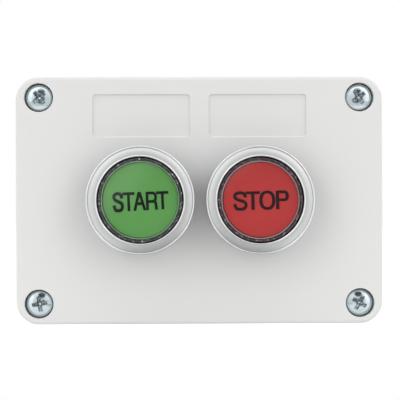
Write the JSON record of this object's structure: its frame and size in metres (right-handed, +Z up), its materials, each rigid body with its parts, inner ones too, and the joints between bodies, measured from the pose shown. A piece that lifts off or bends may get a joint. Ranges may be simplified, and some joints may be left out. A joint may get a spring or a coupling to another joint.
{
  "type": "pushbutton control station",
  "caption": "Surface-mounted control station: a light grey box with a green start and a red stop flush pushbutton, each working a contact block inside.",
  "frame": {"origin": "centre of the flat back face, where the station meets the wall", "axes": "+X right and +Z up as the user faces the lid, +Y into the wall; the lid faces -Y"},
  "size_m": [0.104, 0.072, 0.07],
  "materials": {
    "grey_shell": "light grey moulded plastic, satin",
    "silver_bezel": "satin silver",
    "clear_lens": "clear, glossy",
    "green_disc": "satin green",
    "red_disc": "satin red",
    "black_plastic": "black moulded",
    "seal_rubber": "matt black rubber",
    "zinc_steel": "bright zinc plate",
    "spring_steel": "drawn spring wire",
    "contact_brass": "bright brass",
    "green_plunger": "green moulded",
    "red_plunger": "red moulded"
  },
  "bodies": {
    "enclosure": {"enclosure_base": "grey_shell", "enclosure_lid": "grey_shell", "lid_gasket": "seal_rubber", "lid_screw_top_left": "zinc_steel", "lid_screw_top_right": "zinc_steel", "lid_screw_bottom_left": "zinc_steel", "lid_screw_bottom_right": "zinc_steel", "start_bezel": "silver_bezel", "start_panel_seal": "seal_rubber", "start_barrel": "black_plastic", "start_lock_nut": "black_plastic", "start_return_spring": "spring_steel", "start_contact_holder": "black_plastic", "start_contact_block": "black_plastic", "start_contact_cover": "black_plastic", "start_contact_spring": "spring_steel", "start_terminal_upper": "contact_brass", "start_terminal_lower": "contact_brass", "start_terminal_screw_upper": "zinc_steel", "start_terminal_screw_lower": "zinc_steel", "stop_bezel": "silver_bezel", "stop_panel_seal": "seal_rubber", "stop_barrel": "black_plastic", "stop_lock_nut": "black_plastic", "stop_return_spring": "spring_steel", "stop_contact_holder": "black_plastic", "stop_contact_block": "black_plastic", "stop_contact_cover": "black_plastic", "stop_contact_spring": "spring_steel", "stop_terminal_upper": "contact_brass", "stop_terminal_lower": "contact_brass", "stop_terminal_screw_upper": "zinc_steel", "stop_terminal_screw_lower": "zinc_steel"},
    "start_button": {"start_lens": "clear_lens", "start_legend_disc": "green_disc", "start_button_carrier": "black_plastic"},
    "start_contact": {"start_contact_plunger": "green_plunger", "start_contact_bridge": "contact_brass"},
    "stop_button": {"stop_lens": "clear_lens", "stop_legend_disc": "red_disc", "stop_button_carrier": "black_plastic"},
    "stop_contact": {"stop_contact_plunger": "red_plunger", "stop_contact_bridge": "contact_brass"}
  },
  "joints": [
    {"name": "start_press", "type": "slide", "parent": "enclosure", "child": "start_button", "axis": [0, 1, 0], "range_m": [0, 0.004], "stiffness_N_per_m": 900, "springref_m": -0.003, "deforming": ["start_return_spring"]},
    {"name": "stop_press", "type": "slide", "parent": "enclosure", "child": "stop_button", "axis": [0, 1, 0], "range_m": [0, 0.004], "stiffness_N_per_m": 900, "springref_m": -0.003, "deforming": ["stop_return_spring"]},
    {"name": "start_contact_travel", "type": "slide", "parent": "enclosure", "child": "start_contact", "axis": [0, 1, 0], "range_m": [0, 0.004], "stiffness_N_per_m": 300, "springref_m": -0.003, "deforming": ["start_contact_spring"]},
    {"name": "stop_contact_travel", "type": "slide", "parent": "enclosure", "child": "stop_contact", "axis": [0, 1, 0], "range_m": [0, 0.004], "stiffness_N_per_m": 300, "springref_m": -0.003, "deforming": ["stop_contact_spring"]}
  ],
  "couplings": [
    {"joint": "start_contact_travel", "follows": "start_press", "ratio": 1},
    {"joint": "stop_contact_travel", "follows": "stop_press", "ratio": 1}
  ]
}
